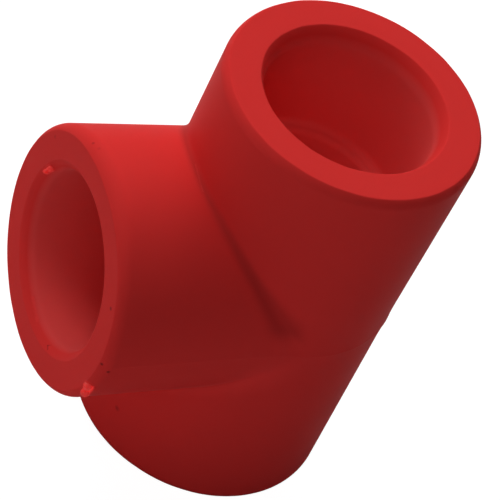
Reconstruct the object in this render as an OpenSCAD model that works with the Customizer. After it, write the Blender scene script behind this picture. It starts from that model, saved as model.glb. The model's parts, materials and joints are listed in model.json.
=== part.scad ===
// Equal pipe tee with three socket ends, moulded as one piece of red plastic.
// It stands on the mouth of its lower socket. The run goes up along Z,
// the branch leaves it along +X, and Z = 0 is the lower mouth's face.

/* [Mouths] */
// Outside diameter of each of the three mouths
mouth_d = 36.4; // [35.4:0.1:42]
// How far the rounding of a mouth's outer edge reaches in over the face
rim_w = 0.7; // [0.3:0.1:1.4]
// How far that rounding reaches down the side
rim_h = 1.5; // [1.4:0.1:2.5]

/* [Run] */
// Length of the run from one mouth face to the other
run_length = 63.4; // [60:0.2:90]
// Outside diameter of the run at the height of the branch
body_d = 35.8; // [34.6:0.1:38]

/* [Branch] */
// Distance from the run's axis to the face of the branch's mouth
branch_length = 31.7; // [30:0.1:45]
// Outside diameter of the branch at its narrowest place
waist_d = 35; // [33:0.1:38]
// Distance from the run's axis to the branch's narrowest place
waist_at = 8; // [5:0.5:12]

/* [Sockets] */
// Inside diameter of a socket, a little under the 25 mm of its pipe
socket_d = 24; // [22:0.1:26]
// Depth of a socket from its mouth face to the stop for the pipe's end
socket_depth = 17.8; // [16:0.1:19]
// Width of the rounded lead-in around a socket's mouth
lead_in_w = 1.2; // [0.4:0.1:1.5]
// Depth of the lead-in
lead_in_depth = 1.6; // [1.5:0.1:2.5]

/* [Waterway] */
// Inside diameter of the waterway between the sockets
waterway_d = 20.4; // [12:0.1:21]

/* [Moulding] */
// Radius of the fillet in the crotch between branch and run
crotch_r = 1.2; // [0.6:0.1:3]
// Width of the fine bead along the parting line
seam_w = 0.5; // [0.2:0.05:1]
// Height of that bead over the surface
seam_h = 0.04; // [0.03:0.01:0.3]

/* [Hidden] */
$fn = 96;

// Height of the crossing of the axes, in the middle of the run
crossing_z = run_length / 2;
// Room by which a cut runs past the surface that it opens
past = 1;
// Steps in the rounding of a mouth's outer edge, and in that of its lead-in
rim_steps = 5;
lead_in_steps = 4;
// Steps in the curve from the run's side to the branch's waist
waist_steps = 4;
// Sections along each half of the crotch's fillet, and steps in its curve
fillet_sections = 14;
fillet_steps = 5;
// Angle around the run at which the fillet has run out
fillet_reach = 84;
// How far the fillet's edges lie under the surfaces that they join
fillet_sink = 0.03;
// How far the fillet's root lies under the crease that it covers
fillet_root = 0.8;
// Rounds of the search for a point on both surfaces
search_rounds = 24;

// Radius of the run at a height t over or under the crossing
function run_r(t) = body_d / 2 + (mouth_d - body_d) / 2 * abs(t) / crossing_z;

// Radius of the branch at a distance t from the run's axis
function branch_r(t) =
    t < waist_at
        ? waist_d / 2 + (body_d - waist_d) / 2 * pow(1 - t / waist_at, 2)
        : waist_d / 2 + (mouth_d - waist_d) / 2 * (t - waist_at) / (branch_length - waist_at);

// Offsets of n + 1 points on an arc that leaves a wall without an edge, turns
// w away from it over a height h, and ends where the flat face cuts it off
function edge_arc(w, h, n) =
    let (turn = 2 * atan(w / h), r = h / sin(turn))
    [for (i = [0 : n]) [r * (1 - cos(turn * i / n)), r * sin(turn * i / n) - h]];

// Points of a mouth's rounded outer edge, from the side to the face at height l
function rim_points(l, out) = [
    for (p = edge_arc(rim_w, rim_h, rim_steps)) [mouth_d / 2 + out - p.x, l + p.y]
];

// Points of the lead-in, from the socket's wall to the face at height l
function lead_in_points(l) = [
    for (p = edge_arc(lead_in_w, lead_in_depth, lead_in_steps)) [socket_d / 2 + p.x, l + p.y]
];

// Half of the run's outside as a solid of revolution, out mm over its surface
module run_half(out) {
    rotate_extrude()
        polygon(concat(
            [[0, 0], [run_r(0) + out, 0]],
            rim_points(crossing_z, out),
            [[0, crossing_z]]
        ));
}

// The branch's outside, from the run's axis to its mouth, out mm over its surface
module branch_outside(out) {
    rotate([0, 90, 0])
        rotate_extrude()
            polygon(concat(
                [[0, 0]],
                [for (i = [0 : waist_steps])
                    let (t = waist_at * i / waist_steps) [branch_r(t) + out, t]],
                rim_points(branch_length, out),
                [[0, branch_length]]
            ));
}

// The whole outside of the tee without its fillets, out mm over its surface
module outside(out = 0) {
    run_half(out);
    mirror([0, 0, 1]) run_half(out);
    branch_outside(out);
}

// Height at which a point of the run, seen at angle a, meets the branch,
// with both surfaces grown by g
function meet_z(a, g, z = 0, n = search_rounds) =
    n == 0
        ? z
        : let (
            x = (run_r(z) + g) * cos(a),
            y = (run_r(z) + g) * sin(a),
            r = branch_r(x) + g
        ) meet_z(a, g, (z + sqrt(max(r * r - y * y, 0))) / 2, n - 1);

// A point on both surfaces, each grown by g
function meet_point(a, g) =
    let (z = meet_z(a, g)) [(run_r(z) + g) * cos(a), (run_r(z) + g) * sin(a), z];

// One section of the crotch's fillet: an arc that touches both surfaces,
// closed by a root under the crease
function fillet_section(a) =
    let (
        c = meet_point(a, crotch_r),
        from_run = [c.x, c.y, 0] / norm([c.x, c.y]),
        from_branch = [0, c.y, c.z] / norm([c.y, c.z]),
        turn = acos(min(from_run * from_branch, 1)),
        crease = meet_point(a, 0),
        inward = [crease.x, 0, crease.z] / max(norm([crease.x, crease.z]), 0.01)
    )
    concat(
        [for (i = [0 : fillet_steps])
            let (
                s = i / fillet_steps,
                w1 = turn < 0.01 ? 1 - s : sin((1 - s) * turn) / sin(turn),
                w2 = turn < 0.01 ? s : sin(s * turn) / sin(turn)
            )
            c - (crotch_r + fillet_sink) * (w1 * from_run + w2 * from_branch)],
        [crease - fillet_root * (inward + [0, sin(a), 0])]
    );

// Fillet in the upper crotch, swept along the crease from side to side
module crotch_fillet() {
    n = fillet_steps + 2;
    last = 2 * fillet_sections;
    sections = [for (k = [0 : last]) fillet_section(fillet_reach * (k / fillet_sections - 1))];
    points = [for (s = sections) each s];
    sides = [
        for (k = [0 : last - 1], i = [0 : n - 1])
            let (j = (i + 1) % n)
            each [
                [k * n + i, (k + 1) * n + j, k * n + j],
                [k * n + i, (k + 1) * n + i, (k + 1) * n + j]
            ]
    ];
    ends = [
        [for (i = [0 : n - 1]) i],
        [for (i = [n - 1 : -1 : 0]) last * n + i]
    ];
    polyhedron(points, concat(sides, ends));
}

// Fine bead where the mould's two halves met: round the back of the run
// and along both sides of the branch
module parting_line() {
    intersection() {
        outside(seam_h);
        cube([4 * branch_length, 2 * mouth_d, seam_w], center = true);
    }
}

// Space that one socket opens: lead-in, straight wall and flat stop,
// with the mouth at height l
module socket_cut(l) {
    rotate_extrude()
        polygon(concat(
            [[0, l - socket_depth], [socket_d / 2, l - socket_depth]],
            lead_in_points(l),
            [[socket_d / 2 + lead_in_w, l + past], [0, l + past]]
        ));
}

// The waterway that joins the three sockets
module waterway() {
    cylinder(d = waterway_d, h = 2 * (crossing_z - socket_depth) + past, center = true);
    rotate([0, 90, 0]) cylinder(d = waterway_d, h = branch_length - socket_depth + past / 2);
}

module tee_body() {
    color([0.76, 0.16, 0.15])
        translate([0, 0, crossing_z])
            difference() {
                union() {
                    outside();
                    crotch_fillet();
                    mirror([0, 0, 1]) crotch_fillet();
                    parting_line();
                }
                socket_cut(crossing_z);
                mirror([0, 0, 1]) socket_cut(crossing_z);
                rotate([0, 90, 0]) socket_cut(branch_length);
                waterway();
            }
}

tee_body();
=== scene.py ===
# %% [markdown]
# # A red pipe tee
# This lesson dresses one plastic plumbing part for its picture: a tee with three equal
# sockets, moulded in one shot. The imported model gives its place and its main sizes, so
# the dressed tee and the solid one always agree.

# %% Load the frame
import json
import math
from typing import NamedTuple

import bpy
from mathutils import Matrix, Vector


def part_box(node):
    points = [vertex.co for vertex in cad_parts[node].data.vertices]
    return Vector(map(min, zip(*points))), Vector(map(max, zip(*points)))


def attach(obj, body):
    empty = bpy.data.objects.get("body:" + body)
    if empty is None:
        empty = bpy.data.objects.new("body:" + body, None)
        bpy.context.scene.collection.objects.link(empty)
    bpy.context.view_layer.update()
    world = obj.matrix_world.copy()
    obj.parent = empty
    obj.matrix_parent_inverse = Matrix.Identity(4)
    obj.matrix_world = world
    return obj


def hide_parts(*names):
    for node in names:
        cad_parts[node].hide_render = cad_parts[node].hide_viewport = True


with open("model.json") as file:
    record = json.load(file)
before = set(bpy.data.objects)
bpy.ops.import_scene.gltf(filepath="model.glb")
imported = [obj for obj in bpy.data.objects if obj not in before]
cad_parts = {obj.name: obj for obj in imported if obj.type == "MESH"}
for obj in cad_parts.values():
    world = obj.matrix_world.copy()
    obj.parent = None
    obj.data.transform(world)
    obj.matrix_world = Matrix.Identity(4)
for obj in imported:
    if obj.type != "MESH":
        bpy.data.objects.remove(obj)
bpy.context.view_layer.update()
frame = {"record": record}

# %% [markdown]
# ## Sizes
# The overall sizes are read from the frame: the run is as tall as the tee, the branch
# reaches as far as its +X side, and the record says how wide and deep a socket is. Only
# the taper, the waterway and the small forms, such as edges and fillets, are given
# here, in metres.

# %% Sizes of the tee
MM = 0.001

tee_low, tee_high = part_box("tee_body")
mounts = {mount["name"]: mount for mount in frame["record"]["mounts"]}
upper_socket = mounts["upper_socket"]
socket_wall = upper_socket["dims"]["length_mm"] * MM
stop_height = upper_socket["pos_m"][2] - socket_wall / 2

BEAD_HEIGHT = 0.04 * MM
sizes = {
    "Mouth Radius": tee_high.y - BEAD_HEIGHT,
    "Body Radius": 17.9 * MM,
    "Waist Radius": 17.5 * MM,
    "Waist Place": 8 * MM,
    "Run Length": (tee_high.z - tee_low.z) / 2,
    "Branch Length": tee_high.x,
    "Socket Radius": upper_socket["dims"]["r_mm"] * MM,
    "Socket Depth": tee_high.z - stop_height,
    "Waterway Radius": 10.2 * MM,
    "Run Rim Width": 0.6 * MM,
    "Branch Rim Width": 0.85 * MM,
    "Run Rim Wear": 0,
    "Branch Rim Wear": 0.5 * MM,
    "Rim Height": 1.5 * MM,
    "Run Lead In Width": 1.1 * MM,
    "Branch Lead In Width": 1.35 * MM,
    "Run Lead In Depth": 3.2 * MM,
    "Branch Lead In Depth": 2 * MM,
    "Edge Radius": 0.2 * MM,
    "Corner Radius": 0.9 * MM,
    "Stop Edge Radius": 0.8 * MM,
    "Crotch Radius": 1.4 * MM,
    "Bead Width": 0.5 * MM,
    "Bead Height": BEAD_HEIGHT,
    "Draft Reach": 4 * MM,
    "Draft Height": 0.1 * MM,
    "Unevenness": 0.12 * MM,
}
OWN_SIZES = ("Length", "Rim Width", "Rim Wear", "Lead In Width", "Lead In Depth")
crossing = Vector((0, 0, tee_low.z + sizes["Run Length"]))
for label, size in sizes.items():
    print(f"{label}: {size:.5f}")

# %% [markdown]
# ## A calculator for node trees
# The tee's surface follows formulas, and a formula in a node tree is a chain of Math
# nodes. Wiring them one by one is slow to read. Instead, a small class stands for a
# node's result, and a sum or a product of two results adds the Math node by itself.


# %% Add nodes and do sums with their results
class Field:
    """The result of a node. A sum or product of fields adds Math nodes to their tree."""

    def __init__(self, tree, socket):
        self.tree = tree
        self.socket = socket

    def math(self, operation, *others):
        values = dict(enumerate((self, *others)))
        return add_node(self.tree, "ShaderNodeMath", values, operation=operation)

    def __add__(self, other):
        return self.math("ADD", other)

    def __sub__(self, other):
        return self.math("SUBTRACT", other)

    def __mul__(self, other):
        return self.math("MULTIPLY", other)

    def __truediv__(self, other):
        return self.math("DIVIDE", other)

    def __rsub__(self, other):
        return self * -1 + other

    def clamped(self):
        """The same value, kept between 0 and 1."""
        return self.math("MAXIMUM", 0).math("MINIMUM", 1)

    __radd__ = __add__
    __rmul__ = __mul__


def add_node(tree, kind, inputs=None, output=0, **options):
    """Adds a node, sets its options, fills its inputs and gives back one of its results."""
    node = tree.nodes.new(kind)
    for option, value in options.items():
        setattr(node, option, value)
    for key, value in (inputs or {}).items():
        if isinstance(value, Field):
            tree.links.new(value.socket, node.inputs[key])
        else:
            node.inputs[key].default_value = value
    return Field(tree, node.outputs[output])


def vector_math(operation, first, second, output="Vector"):
    """Does one sum with vectors. Scale takes its number in an input of its own."""
    second_input = "Scale" if operation == "SCALE" else 1
    values = {0: first, second_input: second}
    return add_node(first.tree, "ShaderNodeVectorMath", values, output, operation=operation)


def coordinate(vector, axis):
    """One of a vector's three numbers."""
    return add_node(vector.tree, "ShaderNodeSeparateXYZ", {0: vector}, axis)


def noise(place, feature_size, detail):
    """Noise from 0 to 1 whose blotches are about as wide as feature_size."""
    values = {"Vector": place, "Scale": 1 / feature_size, "Detail": detail}
    return add_node(place.tree, "ShaderNodeTexNoise", values)


# %% Start a tree with named inputs
def new_tree(name, input_kinds, output_kinds, tree_kind="GeometryNodeTree"):
    """Makes an empty tree and gives it with its inputs, as fields by name."""
    tree = bpy.data.node_groups.new(name, tree_kind)
    for direction, kinds in (("INPUT", input_kinds), ("OUTPUT", output_kinds)):
        for label, kind in kinds.items():
            options = {"in_out": direction, "socket_type": f"NodeSocket{kind}"}
            tree.interface.new_socket(label, **options)
    start = tree.nodes.new("NodeGroupInput")
    inputs = {label: Field(tree, start.outputs[label]) for label in input_kinds}
    return tree, inputs


def end_tree(tree, results):
    """Plugs the results into the tree's outputs."""
    end = tree.nodes.new("NodeGroupOutput")
    for label, field in results.items():
        tree.links.new(field.socket, end.inputs[label])


# %% [markdown]
# ## The taper of an arm
# Each of the three arms is a little thinner near the crossing than at its mouth. The run
# tapers evenly. The branch first curves in to a waist and then widens, which is what
# gives the crotch its soft look. One small tree serves both, because a waist at
# distance nought leaves an even taper.


# %% Radius along an arm
def make_taper_tree():
    radii = ("Body Radius", "Waist Radius", "Mouth Radius")
    kinds = dict.fromkeys((*radii, "Along", "Waist Place", "Length"), "Float")
    tree, value = new_tree("arm_radius", kinds, {"Radius": "Float"})
    along, waist, place = value["Along"], value["Waist Radius"], value["Waist Place"]
    to_waist = 1 - along / place
    near = waist + (value["Body Radius"] - waist) * to_waist * to_waist
    rise = (value["Mouth Radius"] - waist) / (value["Length"] - place)
    far = waist + rise * (along - place)
    is_near = along.math("LESS_THAN", place)
    end_tree(tree, {"Radius": near * is_near + far * (1 - is_near)})
    return tree


taper_tree = make_taper_tree()
print("the taper takes", len(taper_tree.nodes), "nodes")

# %% [markdown]
# ## One arm as a sheet that is rolled up
# An arm could be a revolved profile joined to the others with a Boolean, but a Boolean
# leaves long thin faces along the crease, and they shade badly. Here each arm starts as
# a flat grid. Its columns go round the arm's axis and its rows follow the section: up
# the outside, over the rim, across the face, down the socket, over the stop and back
# along the waterway. The first and last rows lie on the creases where the arms meet, so
# the three sheets fit each other vertex by vertex and weld into one closed skin.

# %% Rows and columns of the sheet
SECTION = {
    "outside": 44,
    "rim": 9,
    "rim edge": 4,
    "face": 8,
    "lip": 4,
    "lead in": 8,
    "socket wall": 14,
    "corner": 6,
    "stop": 4,
    "stop edge": 4,
    "waterway": 10,
}
ROWS = sum(SECTION.values())
COLUMNS = 224


def zone(row, name, smooth=True):
    """Share of one stretch of the section that a row has passed, from 0 to 1."""
    names = list(SECTION)
    first = sum(SECTION[other] for other in names[: names.index(name)])
    limits = {"Value": row, "From Min": first, "From Max": first + SECTION[name]}
    kind = "SMOOTHSTEP" if smooth else "LINEAR"
    return add_node(row.tree, "ShaderNodeMapRange", limits, interpolation_type=kind)


# %% Bends of the section
FORWARD, INWARD, BACK = 0, math.pi / 2, math.pi


class Bend(NamedTuple):
    """How far a bend has gone at each row, and how far it goes in all."""

    forward: Field
    inward: Field
    whole_forward: Field
    whole_inward: Field


def bend(row, name, radius, start, end):
    """A bend of the section. Its direction turns from one angle to another: forward is to
    the mouth and back is down the socket. A hollow corner has a radius below nought."""
    angle = (end - start) * zone(row, name, smooth=False) + start

    # Adding nought times a field turns a plain angle into a field as well.
    end, start = angle * 0 + end, angle * 0 + start
    forward = (angle.math("SINE") - start.math("SINE")) * radius
    inward = (start.math("COSINE") - angle.math("COSINE")) * radius
    whole_forward = (end.math("SINE") - start.math("SINE")) * radius
    whole_inward = (start.math("COSINE") - end.math("COSINE")) * radius
    return Bend(forward, inward, whole_forward, whole_inward)


def edge_arc(width, height):
    """Turn and radius of an arc that leaves a wall smoothly and goes width in on height."""
    turn = (width / height).math("ARCTANGENT") * 2
    return turn, height / turn.math("SINE")


# %% All bends from the outside to the waterway
UNEVEN_STRETCH = 0.2  # length of one wave, as a share of the arm's radius
WORN_SIDE = 6  # power of the cosine, which keeps the wear on one side
WORN_SLOPE = 1.6  # how far a worn rim grows down the side for each width it gains


def section_bends(row, value, cosine, sine):
    """The bends at the mouth's two edges and at the stop, by their stretch's name."""
    # A mouth's edges are never quite even, and the branch's are worn on its upper side.
    circle = add_node(row.tree, "ShaderNodeCombineXYZ", {"X": cosine, "Y": sine})
    uneven = (noise(circle, UNEVEN_STRETCH, detail=3) * 2 - 1) * value["Unevenness"]
    worn = value["Rim Wear"] * cosine.math("MAXIMUM", 0).math("POWER", WORN_SIDE)
    rim_width = value["Rim Width"] + worn + uneven
    rim_height = value["Rim Height"] + worn * WORN_SLOPE
    rim_turn, rim_radius = edge_arc(rim_width, rim_height)
    lead_in_width = value["Lead In Width"] + uneven
    lead_turn, lead_radius = edge_arc(lead_in_width, value["Lead In Depth"])
    lead_start = BACK - lead_turn
    edge, stop_edge = value["Edge Radius"], value["Stop Edge Radius"]
    stretches = {
        "rim": (rim_radius, FORWARD, rim_turn),
        "rim edge": (edge, rim_turn, INWARD),
        "lip": (edge, INWARD, lead_start),
        "lead in": (lead_radius, lead_start, BACK),
        "corner": (value["Corner Radius"] * -1, BACK, INWARD),
        "stop edge": (stop_edge, INWARD, BACK),
    }
    return {name: bend(row, name, *numbers) for name, numbers in stretches.items()}


# %% Where each row lies
def rolled_section(row, value, cosine, sine):
    """Distance of each row from the arm's axis, and its place along that axis."""
    mouth, socket = value["Mouth Radius"], value["Socket Radius"]
    waterway = value["Waterway Radius"]
    corner, stop_edge = value["Corner Radius"], value["Stop Edge Radius"]
    length, depth = value["Length"], value["Socket Depth"]
    bends = section_bends(row, value, cosine, sine)

    at_mouth = [bends[name] for name in ("rim", "rim edge", "lip", "lead in")]
    face = mouth - socket - sum(one.whole_inward for one in at_mouth)
    radius = mouth - sum(one.inward for one in bends.values())
    radius -= face * zone(row, "face")
    radius -= (socket - corner - stop_edge - waterway) * zone(row, "stop")

    # The run's creases lie on its +X half only, the branch's on both halves.
    crease = cosine.math("MAXIMUM", cosine * -1 * value["Crease Sides"])
    first = mouth * crease
    last = waterway * crease
    top = bends["rim"].whole_forward + bends["rim edge"].whole_forward
    lip = bends["lip"].whole_forward + bends["lead in"].whole_forward
    along = first + (length - top - first) * zone(row, "outside")
    along += sum(one.forward for one in bends.values())
    along -= (depth + lip - corner) * zone(row, "socket wall")
    along -= (length - depth - stop_edge - last) * zone(row, "waterway", smooth=False)
    return radius, along


# %% The tree of one arm
SIDE_CROWDING = 0.35


def shared_sizes():
    """Names of the sizes that are the same for the run and the branch."""
    return [name for name in sizes if not name.startswith(("Run ", "Branch "))]


def make_arm_tree():
    kinds = dict.fromkeys([*shared_sizes(), *OWN_SIZES, "Crease Sides"], "Float")
    tree, value = new_tree("tee_arm", kinds, {"Geometry": "Geometry"})
    grid = {"Size X": 1, "Size Y": 1, "Vertices X": COLUMNS + 1, "Vertices Y": ROWS + 1}
    sheet = add_node(tree, "GeometryNodeMeshGrid", grid)

    # The grid lies round its middle, and its columns stand closer at the arm's sides.
    place = add_node(tree, "GeometryNodeInputPosition")
    around = coordinate(place, "X") * 2 * math.pi
    row = (coordinate(place, "Y") + 0.5) * ROWS
    turn = around + (around * 2).math("SINE") * SIDE_CROWDING
    cosine, sine = turn.math("COSINE"), turn.math("SINE")
    radius, along = rolled_section(row, value, cosine, sine)
    rolled = {"X": radius * cosine, "Y": radius * sine, "Z": along}
    position = add_node(tree, "ShaderNodeCombineXYZ", rolled)

    # The settling will move the outside alone, up to the rim's first row.
    outside = row.math("LESS_THAN", SECTION["outside"] + 0.5)
    marked = {"Geometry": sheet, "Name": "outside", "Value": outside}
    sheet = add_node(tree, "GeometryNodeStoreNamedAttribute", marked)
    moved = {"Geometry": sheet, "Position": position}
    end_tree(tree, {"Geometry": add_node(tree, "GeometryNodeSetPosition", moved)})
    return tree


arm_tree = make_arm_tree()
print("an arm has", ROWS, "rows of", COLUMNS, "faces")
print("its tree takes", len(arm_tree.nodes), "nodes")

# %% [markdown]
# ## Three arms, one skin
# The tree below places three copies of the sheet, welds them and then settles the
# outside. The settling is a small search: each vertex asks how far it is from the
# surface where run and branch melt into each other, and steps there along the slope,
# several times over. The blend of the two distances makes the fillet in the crotch, and
# a low ridge along the mould's parting plane is added to the same distance.


# %% Distance of a point from the run and from the branch
def arm_distance(value, name, across, side, along):
    """Distance of a point from one arm's surface, and from that arm's axis."""
    from_axis = (across * across + side * side).math("SQRT")
    has_waist = name == "Branch"
    shape = {
        "Along": along,
        "Body Radius": value["Body Radius"],
        "Waist Radius": value["Waist Radius"] if has_waist else value["Body Radius"],
        "Waist Place": value["Waist Place"] if has_waist else 0,
        "Mouth Radius": value["Mouth Radius"],
        "Length": value[name + " Length"] - value["Rim Height"],
    }
    radius = add_node(across.tree, "GeometryNodeGroup", shape, node_tree=taper_tree)
    return from_axis - radius, from_axis


# %% Step that takes a vertex to the blended surface
BEHIND_PUSH = 20  # how many times the distance behind the run's axis is added
LEAST_BLEND = 0.001 * MM  # keeps the width of the blend above nought
BEAD_SOFTNESS = 0.5  # rounding of the bead's top, as a share of its height


def settling_step(tree, value):
    """Offset that carries a vertex onto the outside with its fillets and its bead."""
    place = add_node(tree, "GeometryNodeInputPosition")
    x, y, z = (coordinate(place, axis) for axis in "XYZ")
    to_run, run_axis = arm_distance(value, "Run", x, y, z.math("ABSOLUTE"))
    to_branch, branch_axis = arm_distance(value, "Branch", z, y, x)

    # Behind the run's axis there is no branch, so its surface is pushed away there.
    to_branch = to_branch + (x * -1).math("MAXIMUM", 0) * BEHIND_PUSH

    # Where both surfaces face the same way there is no crease, and so no fillet.
    alike = y * y / (run_axis * branch_axis)
    blend = (value["Crotch Radius"] * (1 - alike)).math("MAXIMUM", LEAST_BLEND)
    run_share = ((to_branch - to_run) / blend * 0.5 + 0.5).clamped()
    branch_share = 1 - run_share
    distance = to_run * run_share + to_branch * branch_share
    distance = distance - blend * run_share * branch_share

    # On the parting plane stand a fine bead and a low, wide ridge.
    off_plane = z.math("ABSOLUTE")
    bead_share = (1 - off_plane / (value["Bead Width"] / 2)).math("MAXIMUM", 0)
    bead_share = bead_share.math("SMOOTH_MIN", 1, BEAD_SOFTNESS)
    distance = distance - value["Bead Height"] * bead_share
    draft_share = (1 - off_plane / value["Draft Reach"]).math("MAXIMUM", 0)
    distance = distance - value["Draft Height"] * draft_share * draft_share

    slope = {
        "X": x / run_axis * run_share,
        "Y": y / run_axis * run_share + y / branch_axis * branch_share,
        "Z": z / branch_axis * branch_share,
    }
    slope = add_node(tree, "ShaderNodeCombineXYZ", slope)
    steepness = vector_math("DOT_PRODUCT", slope, slope, "Value")
    return vector_math("SCALE", slope, distance / steepness * -1)


# %% The tree of the whole tee
SETTLING_ROUNDS = 8
WELD_DISTANCE = 0.001 * MM


def finish_tree(tree, skin, material):
    """Ends a tree: the skin is smooth, real and of one material."""
    skin = add_node(tree, "GeometryNodeSetShadeSmooth", {"Geometry": skin})
    skin = add_node(tree, "GeometryNodeRealizeInstances", {"Geometry": skin})
    finish = {"Geometry": skin, "Material": material}
    end_tree(tree, {"Geometry": add_node(tree, "GeometryNodeSetMaterial", finish)})


def place_arm(tree, value, name, crease_sides):
    """Adds the tree of one arm, with the sizes of the run or of the branch."""
    shared = {label: value[label] for label in shared_sizes()}
    own = {label: value[f"{name} {label}"] for label in OWN_SIZES}
    inputs = shared | own | {"Crease Sides": crease_sides}
    return add_node(tree, "GeometryNodeGroup", inputs, node_tree=arm_tree)


def weld_arms(tree, value):
    """The two halves of the run and the branch, joined along their creases."""
    run = place_arm(tree, value, "Run", 0)
    down = add_node(tree, "GeometryNodeTransform", {"Geometry": run, "Scale": (1, 1, -1)})
    down = add_node(tree, "GeometryNodeFlipFaces", {"Mesh": down})

    branch = place_arm(tree, value, "Branch", 1)
    place = add_node(tree, "GeometryNodeInputPosition")
    swapped = {axis: coordinate(place, old) for axis, old in zip("XYZ", "ZYX")}
    swapped = add_node(tree, "ShaderNodeCombineXYZ", swapped)
    laid = {"Geometry": branch, "Position": swapped}
    branch = add_node(tree, "GeometryNodeSetPosition", laid)
    branch = add_node(tree, "GeometryNodeFlipFaces", {"Mesh": branch})

    join = tree.nodes.new("GeometryNodeJoinGeometry")
    for sheet in (run, down, branch):
        tree.links.new(sheet.socket, join.inputs[0])
    weld = {"Geometry": Field(tree, join.outputs[0]), "Distance": WELD_DISTANCE}
    return add_node(tree, "GeometryNodeMergeByDistance", weld)


def settle(tree, value, skin):
    """Takes the step of the outside's vertices several times over."""
    start = tree.nodes.new("GeometryNodeRepeatInput")
    end = tree.nodes.new("GeometryNodeRepeatOutput")
    start.pair_with_output(end)
    start.inputs["Iterations"].default_value = SETTLING_ROUNDS
    tree.links.new(skin.socket, start.inputs["Geometry"])
    outside = add_node(tree, "GeometryNodeInputNamedAttribute", {"Name": "outside"})
    step = {
        "Geometry": Field(tree, start.outputs["Geometry"]),
        "Selection": outside,
        "Offset": settling_step(tree, value),
    }
    settled = add_node(tree, "GeometryNodeSetPosition", step)
    tree.links.new(settled.socket, end.inputs["Geometry"])
    skin = {"Geometry": Field(tree, end.outputs["Geometry"]), "Name": "outside"}
    return add_node(tree, "GeometryNodeRemoveAttribute", skin)


def make_tee_tree():
    kinds = dict.fromkeys(sizes, "Float") | {"Material": "Material"}
    tree, value = new_tree("pipe_tee", kinds, {"Geometry": "Geometry"})
    skin = settle(tree, value, weld_arms(tree, value))
    lift = add_node(tree, "ShaderNodeCombineXYZ", {"Z": value["Run Length"]})
    skin = add_node(tree, "GeometryNodeTransform", {"Geometry": skin, "Translation": lift})
    finish_tree(tree, skin, value["Material"])
    return tree


tee_tree = make_tee_tree()
print("the tee's tree takes", len(tee_tree.nodes), "nodes")

# %% [markdown]
# ## Marks of moulding and handling
# A used fitting has a few small flaws: dark specks of dirt, and pale plastic where a burr
# or a nick has stretched it, painted paler still as a highlight. Fine bright lines on the
# rim, in the crotch and in a lead-in are painted highlights over small bumps. Each is a
# spot or a short line on the surface, so one node group draws them all. It asks how far a
# point is from the line between two places, and a little noise frays the mark's outline.

# %% The node group of one mark
FRAY_SIZE = 0.3 * MM
FRAY = 0.5  # strength of the noise in the outline, as a share of the width


def make_mark_group():
    kinds = {"Place": "Vector", "Start": "Vector", "End": "Vector", "Width": "Float"}
    tree, value = new_tree("surface_mark", kinds, {"Amount": "Float"}, "ShaderNodeTree")
    place, start, end, width = value.values()

    line = vector_math("SUBTRACT", end, start)
    offset = vector_math("SUBTRACT", place, start)
    length_squared = vector_math("DOT_PRODUCT", line, line, "Value")
    passed = vector_math("DOT_PRODUCT", offset, line, "Value") / length_squared
    nearest = vector_math("SCALE", line, passed.clamped())
    away = vector_math("DISTANCE", offset, nearest, "Value")
    away = away + (noise(place, FRAY_SIZE, detail=2) - 0.5) * FRAY * width
    fading = {"Value": away, "From Min": width, "From Max": 0}
    amount = add_node(tree, "ShaderNodeMapRange", fading, interpolation_type="SMOOTHSTEP")
    end_tree(tree, {"Amount": amount})
    return tree


mark_group = make_mark_group()
print("the mark's group takes", len(mark_group.nodes), "nodes")


# %% Where the marks are
class Mark(NamedTuple):
    """A spot or a line, in millimetres, and how dark, how pale with painted highlight, and
    how high it is.
    A strength above 1 leaves less of its width to the soft edge."""

    start: tuple
    end: tuple
    width: float
    dark: float = 0
    pale_and_highlight: float = 0
    height: float = 0


def spot(place, width, dark):
    """A dark speck at one place."""
    return Mark(place, place, width, dark)


MARKS = {
    "speck on the branch's face": spot((31.7, 14.34, 39.14), 0.38, 0.8),
    "speck on the branch's edge": spot((31.48, 17.61, 31.73), 0.35, 0.8),
    "speck under the edge": spot((30.37, 18.16, 30.72), 0.36, 0.8),
    "soft spot under the branch": spot((16.91, 6.56, 7.1), 0.6, 0.35),
    "speck on the upper edge": spot((31.01, -5.88, 48.7), 0.4, 0.7),
    "faint speck beside it": spot((30.63, -4.43, 48.97), 0.4, 0.15),
    "faint speck on the face": spot((31.7, -13.13, 41.57), 0.4, 0.2),
    "hair in the lead-in": Mark((31.15, 5.39, 20.55), (31.4, 5.11, 20.11), 0.22, 0.5),
    "bend of that hair": Mark((31.4, 5.11, 20.11), (31.58, 5.74, 20.06), 0.22, 0.5),
    # The burr and the nick are paler stretched plastic, painted paler still as a highlight.
    "burr": Mark((31.6, 17.1, 26.5), (31.4, 17.1, 24.9), 1, pale_and_highlight=3),
    "nick": Mark((31.5, -11.9, 35.7), (31.5, -11.5, 37), 0.9, pale_and_highlight=2),
    # A painted glint on the lead-in's inner edge, with a small bump.
    "painted glint in lead-in": Mark((30.85, -3.29, 19.97), (31.1, 0.2, 19.35), 0.45, 0, 1, 0.1),
    # A painted highlight along the rim's edge, in three pieces, with a small bump.
    "painted highlight on the rim": Mark((30.88, 0.5, 49.73), (30.9, 2.15, 49.61), 0.18, 0, 0.6, 0.03),
    "its middle": Mark((30.9, 2.15, 49.61), (30.89, 3.9, 49.3), 0.22, 0, 0.9, 0.05),
    "its end": Mark((30.89, 3.9, 49.3), (30.85, 5.59, 48.87), 0.18, 0, 0.7, 0.05),
    # A painted glint along the upper crotch's crease, in two pieces, with a small bump.
    "painted glint in crotch": Mark((18.32, -0.5, 49.98), (18.4, 1.5, 49.73), 0.22, 0, 0.8, 0.05),
    "the rest of it": Mark((18.4, 1.5, 49.73), (18.36, 3.44, 49.34), 0.2, 0, 0.8, 0.05),
}


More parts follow.
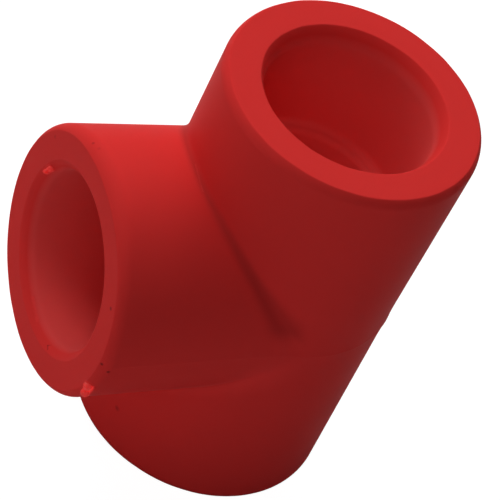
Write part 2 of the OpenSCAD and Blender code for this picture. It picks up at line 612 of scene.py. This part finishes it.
def add_marks(place):
    """How dark, how pale with painted highlight, and how high all marks together make a
    point.
    """
    totals = [0, 0, 0]
    for mark in MARKS.values():
        values = {
            "Place": place,
            "Start": Vector(mark.start) * MM,
            "End": Vector(mark.end) * MM,
            "Width": mark.width * MM,
        }
        amount = add_node(place.tree, "ShaderNodeGroup", values, node_tree=mark_group)
        for index, strength in enumerate((mark.dark, mark.pale_and_highlight, mark.height)):
            if strength:
                totals[index] = amount * strength + totals[index]
    return totals


print(len(MARKS), "marks")

# %% [markdown]
# ## Red plastic
# The tee is polypropylene: coloured all through, waxy, with a soft sheen and no clear
# coat. A few things keep it from looking like plain paint. The colour drifts a little
# where the melt has flowed, light goes a short way into the plastic, and the skin has a
# very fine grain. Light and shade are also painted into the colour: the sockets' insides
# are painted a lighter red, the lower crotch gets a painted highlight and the upper
# crotch painted shade.

# %% Plain values of the plastic
RED = (0.90, 0.045, 0.042, 1)
DEEP_RED = (0.86, 0.042, 0.039, 1)
# painted light: the insides of the sockets are painted this lighter red
SOCKET_PAINTED_LIGHT_RED = (0.92, 0.095, 0.09, 1)
# dark red of the dirt specks, also used for the painted shade in the upper crotch
SPECK_AND_SHADE_RED = (0.12, 0.004, 0.004, 1)
# painted highlight along the lower crotch's crease
PAINTED_HIGHLIGHT_RED = (1, 0.055, 0.052, 1)
# paler red of stretched plastic, also used for painted highlights and the burrs' painted
# glow
PALE_AND_HIGHLIGHT_RED = (1, 0.065, 0.06, 1)
SOCKET_REACH = 12.05 * MM
SOCKET_FADE = 0.4 * MM
CREASE_REACH = 2.2 * MM
CREASE_CORE = 0.3 * MM
CREASE_START = 5 * MM
# share of the painted highlight in the lower crotch
CREASE_PAINTED_HIGHLIGHT = 0.6
# share of the painted shade in the upper crotch
CREASE_PAINTED_SHADE = 0.3
SHADE_NARROWNESS = 3  # power that draws the painted shade in to the crease's core
FLOW_SIZE = 14 * MM
ROUGHNESS = 0.38
ROUGHNESS_DRIFT = 0.08
GRAIN_SIZE = 0.35 * MM
GRAIN_HEIGHT = 0.006  # in millimetres, as the heights of the marks are
GLOSS = 0.01
GLOSS_TINT = (1, 0.2, 0.2, 1)
RELATIVE_DEPTHS = (1, 0.1, 0.1)  # how deep red, green and blue light go


def mix_colours(factor, first, second):
    """Mixes two colours, each given as a plain value or as a field."""
    # The node takes its colours in inputs 6 and 7, and gives their mix in output 2.
    values = {0: factor, 6: first, 7: second}
    return add_node(factor.tree, "ShaderNodeMix", values, 2, data_type="RGBA")


def faded(value, none, full, kind="LINEAR"):
    """A share that grows from 0, where the value is none, to 1, where it is full."""
    limits = {"Value": value, "From Min": none, "From Max": full}
    return add_node(value.tree, "ShaderNodeMapRange", limits, interpolation_type=kind)


# %% Where light and shade are painted into the colour
def painted_light_and_shade_shares(place):
    """Three shares: 1 inside the sockets and 1 in the lower crotch, painted light, and 1 in
    the upper crotch, painted shade.
    """
    x, y, z = (coordinate(place, axis) for axis in "XYZ")
    z = z - crossing.z
    from_run = (x * x + y * y).math("SQRT")
    from_branch = (y * y + z * z).math("SQRT")

    # On the run's back half the branch's axis is put out of the way, a metre off.
    nearest = from_run.math("MINIMUM", from_branch + x.math("LESS_THAN", 0))
    socket = faded(nearest, SOCKET_REACH + SOCKET_FADE, SOCKET_REACH)

    off_run = (from_run - sizes["Body Radius"]).math("ABSOLUTE")
    off_branch = (from_branch - sizes["Waist Radius"]).math("ABSOLUTE")
    off_crease = off_run.math("MAXIMUM", off_branch)
    crease = faded(off_crease, CREASE_REACH, CREASE_CORE, "SMOOTHSTEP")
    from_end = x.math("MINIMUM", z.math("ABSOLUTE"))
    crease = crease * faded(from_end, 0, CREASE_START, "SMOOTHSTEP")
    above = z.math("GREATER_THAN", 0)
    return socket, crease * (1 - above), crease.math("POWER", SHADE_NARROWNESS) * above


# %% The node group of the moulded skin
def make_skin_group():
    """Colour, roughness and height of the plastic's skin, the same for every material. The
    colour holds painted light and shade.
    """
    kinds = {"Colour": "Color", "Roughness": "Float", "Height": "Float"}
    tree, value = new_tree("moulded_skin", {"Place": "Vector"}, kinds, "ShaderNodeTree")
    place = value["Place"]
    flow = noise(place, FLOW_SIZE, detail=3)
    colour = mix_colours(flow, RED, DEEP_RED)
    socket, lower_crease_highlight, upper_crease_shade = painted_light_and_shade_shares(place)
    # Painted light: the insides of the sockets are painted a lighter red.
    colour = mix_colours(socket, colour, SOCKET_PAINTED_LIGHT_RED)
    # Painted highlight: the lower crotch is painted lighter along its crease.
    colour = mix_colours(lower_crease_highlight * CREASE_PAINTED_HIGHLIGHT, colour, PAINTED_HIGHLIGHT_RED)
    dark, pale_and_highlight, raised = add_marks(place)
    # The burr and nick are paler stretched plastic, painted paler still as a highlight; the
    # bright lines are painted highlights.
    colour = mix_colours(pale_and_highlight, colour, PALE_AND_HIGHLIGHT_RED)
    # Dark specks are dirt; the upper crotch is darkened with the same red as painted shade.
    colour = mix_colours(dark + upper_crease_shade * CREASE_PAINTED_SHADE, colour, SPECK_AND_SHADE_RED)
    roughness = flow * ROUGHNESS_DRIFT + ROUGHNESS
    height = noise(place, GRAIN_SIZE, detail=2) * GRAIN_HEIGHT + raised
    end_tree(tree, {"Colour": colour, "Roughness": roughness, "Height": height})
    return tree


skin_group = make_skin_group()
print("the skin's group takes", len(skin_group.nodes), "nodes")


# %% Materials of the tee and its burrs
def make_plastic(name, depth, share):
    """Red plastic. Light goes as deep as depth into it, for a share of its colour."""
    material = bpy.data.materials.new(name)
    material.use_nodes = True
    tree = material.node_tree
    shader = tree.nodes["Principled BSDF"]
    place = {"Place": add_node(tree, "ShaderNodeTexCoord", output="Object")}
    colour = add_node(tree, "ShaderNodeGroup", place, "Colour", node_tree=skin_group)
    skin = colour.socket.node
    tree.links.new(colour.socket, shader.inputs["Base Color"])
    tree.links.new(skin.outputs["Roughness"], shader.inputs["Roughness"])

    # The heights are in millimetres, and the bump's distance turns them into metres.
    bump = {"Height": Field(tree, skin.outputs["Height"]), "Distance": MM, "Strength": 1}
    normal = add_node(tree, "ShaderNodeBump", bump, "Normal")
    tree.links.new(normal.socket, shader.inputs["Normal"])

    shader.inputs["Specular IOR Level"].default_value = GLOSS
    shader.inputs["Specular Tint"].default_value = GLOSS_TINT
    shader.inputs["Subsurface Weight"].default_value = share
    shader.inputs["Subsurface Radius"].default_value = RELATIVE_DEPTHS
    shader.inputs["Subsurface Scale"].default_value = depth
    return material


plastic = make_plastic("red_plastic", depth=1.5 * MM, share=0.1)
print("the plastic takes", len(plastic.node_tree.nodes), "nodes")

# %% [markdown]
# ## From the tree to a plain mesh
# The tree hangs on an empty mesh as a modifier. Its sizes are set by each socket's own
# identifier, because that stays the same when a socket is renamed. The evaluated result
# is then copied out as a plain mesh, so that nothing is left to be worked out later.


# %% Evaluate a tree
def grow(name, tree, values):
    """Runs a geometry tree once and gives the result as an object with a plain mesh."""
    base = bpy.data.objects.new(name + "_base", bpy.data.meshes.new(name + "_base"))
    bpy.context.scene.collection.objects.link(base)
    modifier = base.modifiers.new(name, "NODES")
    modifier.node_group = tree
    for socket in tree.interface.items_tree:
        if socket.in_out == "INPUT":
            modifier[socket.identifier] = values[socket.name]
    depsgraph = bpy.context.evaluated_depsgraph_get()
    result = base.evaluated_get(depsgraph)
    mesh = bpy.data.meshes.new_from_object(result, depsgraph=depsgraph)
    base.modifiers.remove(modifier)
    bpy.data.objects.remove(base)
    piece = bpy.data.objects.new(name, mesh)
    bpy.context.scene.collection.objects.link(piece)
    return piece


tee = grow("tee_skin", tee_tree, sizes | {"Material": plastic})
print("the tee has", len(tee.data.polygons), "faces")

# %% [markdown]
# ## Burrs
# Two small lumps stick out at the branch's mouth: one where the mould's halves met and
# one on the lip of the opening. Each is made of balls that noise has pushed out of
# round, half sunk in the skin. One tree makes a ball, and a second one places them. They
# get a material of their own with a faint painted glow, an emission that stands in for
# light shining through lumps as thin as these and makes them look brighter than the rest.

# %% The tree of one ball
BURR_BALLS = {
    # name: (place, half sizes), in millimetres
    "upper ball": ((31.4, 17, 26.3), (0.6, 0.6, 0.6)),
    "lower ball": ((31.3, 17, 25), (0.6, 0.6, 0.55)),
    "curl": ((30.8, 17.25, 26), (0.28, 0.32, 0.8)),
    "upper nick": ((31.4, -11.3, 37.1), (0.55, 0.4, 0.4)),
    "lower nick": ((31.4, -11.9, 35.9), (0.5, 0.3, 0.4)),
}
# strength of the burrs' painted glow, an emission that stands in for light through thin
# plastic
PAINTED_GLOW = 0.2
BALL_ROUNDS = 4
BALL_UNEVENNESS = 0.7
SEED_STEP = 5


def make_ball_tree():
    kinds = {"Place": "Vector", "Half Size": "Vector", "Seed": "Float"}
    tree, value = new_tree("burr_ball", kinds, {"Geometry": "Geometry"})
    round_ball = {"Radius": 1, "Subdivisions": BALL_ROUNDS}
    ball = add_node(tree, "GeometryNodeMeshIcoSphere", round_ball)
    place = add_node(tree, "GeometryNodeInputPosition")
    drift = add_node(tree, "ShaderNodeCombineXYZ", {"X": value["Seed"]})
    lumps = noise(vector_math("ADD", place, drift), feature_size=1, detail=2)
    swell = (lumps - 0.5) * BALL_UNEVENNESS + 1
    pushed = vector_math("SCALE", place, swell)
    ball = add_node(tree, "GeometryNodeSetPosition", {"Geometry": ball, "Position": pushed})
    moved = {"Geometry": ball, "Translation": value["Place"], "Scale": value["Half Size"]}
    end_tree(tree, {"Geometry": add_node(tree, "GeometryNodeTransform", moved)})
    return tree


# %% The tree of the burrs
def make_burrs_tree():
    ball_tree = make_ball_tree()
    tree, value = new_tree("burrs", {"Material": "Material"}, {"Geometry": "Geometry"})
    join = tree.nodes.new("GeometryNodeJoinGeometry")
    for seed, (place, half_size) in enumerate(BURR_BALLS.values()):
        inputs = {"Place": Vector(place) * MM, "Half Size": Vector(half_size) * MM}
        inputs["Seed"] = SEED_STEP * seed
        ball = add_node(tree, "GeometryNodeGroup", inputs, node_tree=ball_tree)
        tree.links.new(ball.socket, join.inputs[0])
    finish_tree(tree, Field(tree, join.outputs[0]), value["Material"])
    return tree


# Painted glow: the burrs' material emits a little pale red light, standing in for light
# through thin plastic.
thin_plastic_painted_glow = make_plastic("thin_plastic_painted_glow", depth=2 * MM, share=1)
painted_glow_shader = thin_plastic_painted_glow.node_tree.nodes["Principled BSDF"]
painted_glow_shader.inputs["Emission Color"].default_value = PALE_AND_HIGHLIGHT_RED
painted_glow_shader.inputs["Emission Strength"].default_value = PAINTED_GLOW
burrs = grow("burrs", make_burrs_tree(), {"Material": thin_plastic_painted_glow})
print("the burrs have", len(burrs.data.polygons), "faces")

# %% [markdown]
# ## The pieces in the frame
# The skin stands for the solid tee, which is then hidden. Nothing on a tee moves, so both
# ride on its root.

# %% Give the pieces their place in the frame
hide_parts("tee_body")
for piece in (tee, burrs):
    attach(piece, "root")
    print(piece.name, "rides on the root")

# %% [markdown]
# ## Floor and backdrop
# The floor is plain and pale. Seen straight from the camera it glows, so that it comes
# out white and still keeps the soft shadow. Every other ray finds it an ordinary pale
# floor.

# %% The floor
FLOOR_SIZE = 3
FLOOR_COLOUR = (0.8, 0.8, 0.8, 1)
BLACK = (0, 0, 0, 1)
FLOOR_GLOW = 0.97
FLOOR_SHADOW = 0.25  # share of the floor's own shading that the camera sees


def make_floor():
    mesh = bpy.data.meshes.new("floor")
    reach = FLOOR_SIZE / 2
    signs = ((-1, -1), (1, -1), (1, 1), (-1, 1))
    mesh.from_pydata([(x * reach, y * reach, 0) for x, y in signs], [], [(0, 1, 2, 3)])
    floor = bpy.data.objects.new("floor", mesh)
    bpy.context.scene.collection.objects.link(floor)
    return floor


def make_floor_material():
    material = bpy.data.materials.new("pale_floor")
    material.use_nodes = True
    tree = material.node_tree
    tree.nodes.clear()
    plain = add_node(tree, "ShaderNodeBsdfDiffuse", {"Color": FLOOR_COLOUR})
    black = add_node(tree, "ShaderNodeBsdfDiffuse", {"Color": BLACK})
    shadowed = {0: FLOOR_SHADOW, 1: black, 2: plain}
    shadowed = add_node(tree, "ShaderNodeMixShader", shadowed)
    glow = add_node(tree, "ShaderNodeEmission", {"Strength": FLOOR_GLOW})
    seen = add_node(tree, "ShaderNodeAddShader", {0: shadowed, 1: glow})
    camera_ray = add_node(tree, "ShaderNodeLightPath", output="Is Camera Ray")
    surface = add_node(tree, "ShaderNodeMixShader", {0: camera_ray, 1: plain, 2: seen})
    output = tree.nodes.new("ShaderNodeOutputMaterial")
    tree.links.new(surface.socket, output.inputs["Surface"])
    return material


floor = make_floor()
floor.data.materials.append(make_floor_material())
print("the floor is", FLOOR_SIZE, "metres wide")

# %% The world behind the floor
WORLD_LIGHT = 0.01
WHITE = (1, 1, 1, 1)


def make_world():
    world = bpy.data.worlds.new("studio")
    world.use_nodes = True
    bpy.context.scene.world = world
    tree = world.node_tree
    tree.nodes.clear()
    dim = {"Color": WHITE, "Strength": WORLD_LIGHT}
    dim = add_node(tree, "ShaderNodeBackground", dim)
    white = add_node(tree, "ShaderNodeBackground", {"Color": WHITE, "Strength": 1})
    camera_ray = add_node(tree, "ShaderNodeLightPath", output="Is Camera Ray")
    seen = add_node(tree, "ShaderNodeMixShader", {0: camera_ray, 1: dim, 2: white})
    output = tree.nodes.new("ShaderNodeOutputWorld")
    tree.links.new(seen.socket, output.inputs["Surface"])


make_world()
print("the world lights the tee at a strength of", WORLD_LIGHT)

# %% [markdown]
# ## Lamps
# The light is that of a small photo tent: large soft panels above and around the tee.
# The strongest stand behind it and to its left, as the camera sees it, so that the top
# of each arm is bright and the sides that face the camera fall off.

# %% Soft panels, aimed at the crossing
PANEL_SIZE = 0.35
PANEL_DISTANCE = 0.9
PANELS = {
    # name: (degrees round from +X, degrees above the floor, watts)
    "front_panel": (50, 32, 0.38),
    "high_front_panel": (50, 58, 0.6),
    "low_left_panel": (14, 8, 0.27),
    "left_panel": (-58, 32, 0.79),
    "high_left_panel": (-53, 58, 1.5),
    "rear_left_panel": (-94, 32, 1.26),
    "high_rear_left_panel": (-104, 58, 1.3),
    "rear_panel": (-130, 32, 0.43),
    "high_rear_right_panel": (-156, 58, 0.55),
}


def direction(azimuth, elevation):
    """The unit vector that points round from +X and up from the floor, in degrees."""
    turn, lift = math.radians(azimuth), math.radians(elevation)
    level = Vector((math.cos(turn), math.sin(turn), 0))
    return level * math.cos(lift) + Vector((0, 0, math.sin(lift)))


for name, (azimuth, elevation, watts) in PANELS.items():
    light = bpy.data.lights.new(name, "AREA")
    light.size = PANEL_SIZE
    light.energy = watts
    panel = bpy.data.objects.new(name, light)
    towards = direction(azimuth, elevation)
    panel.location = crossing + towards * PANEL_DISTANCE
    panel.rotation_euler = (-towards).to_track_quat("-Z", "Y").to_euler()
    bpy.context.scene.collection.objects.link(panel)
print(len(PANELS), "soft panels")

# %% [markdown]
# ## Camera
# The photograph was taken from above one side of the branch, with the camera turned a
# little about its own axis. A long lens keeps the mouths nearly free of perspective.

# %% The camera at the photograph's viewing angle
CAMERA_AZIMUTH = 50.14
CAMERA_ELEVATION = 43.31
CAMERA_ROLL = math.radians(28.06)
CAMERA_DISTANCE = 0.516
CAMERA_LENS = 272.5
CAMERA_SENSOR = 36
AIM_RIGHT = -2.97 * MM
AIM_UP = 0.51 * MM


def make_camera():
    back = direction(CAMERA_AZIMUTH, CAMERA_ELEVATION)
    level = Vector((0, 0, 1)).cross(back).normalized()
    upright = back.cross(level)
    right = level * math.cos(CAMERA_ROLL) + upright * math.sin(CAMERA_ROLL)
    up = upright * math.cos(CAMERA_ROLL) - level * math.sin(CAMERA_ROLL)
    data = bpy.data.cameras.new("camera")
    data.lens = CAMERA_LENS
    data.sensor_width = CAMERA_SENSOR
    camera = bpy.data.objects.new("camera", data)
    turn = Matrix((right, up, back)).transposed().to_4x4()
    stand = crossing + right * AIM_RIGHT + up * AIM_UP + back * CAMERA_DISTANCE
    camera.matrix_world = Matrix.Translation(stand) @ turn
    bpy.context.scene.collection.objects.link(camera)
    bpy.context.scene.camera = camera


make_camera()
bpy.context.scene.view_settings.view_transform = "Standard"
print("the camera stands", CAMERA_DISTANCE, "metres from what it aims at")
